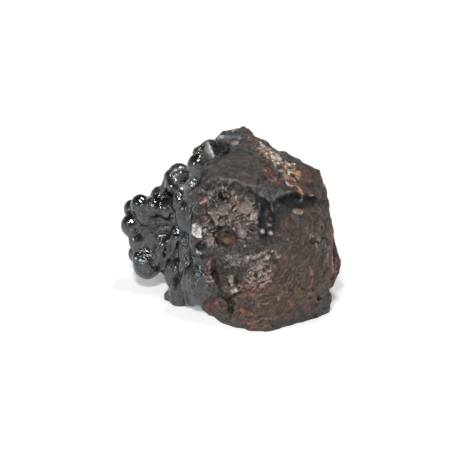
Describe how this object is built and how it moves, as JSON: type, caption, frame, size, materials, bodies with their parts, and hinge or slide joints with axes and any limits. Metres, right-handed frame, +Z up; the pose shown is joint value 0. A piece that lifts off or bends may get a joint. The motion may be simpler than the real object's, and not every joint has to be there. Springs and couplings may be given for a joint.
{
  "type": "hematite specimen",
  "caption": "Lump of massive hematite with rough broken faces at the front, top and right, and a crust of rounded lobes down its left and back sides, resting on a broken flat.",
  "frame": {"origin": "middle of the box's underside, on the surface the stone rests on", "axes": "+X to the right along the width, from the lobed crust to the broken right side; +Y to the back, away from the broken front face; +Z up"},
  "size_m": [0.077, 0.0572, 0.0557],
  "materials": {
    "hematite": "grey-brown massive hematite: glossy gunmetal lobes, dull broken rock with taupe, cream and rust-red patches"
  },
  "bodies": {
    "root": {"hematite_specimen": "hematite"}
  },
  "joints": []
}
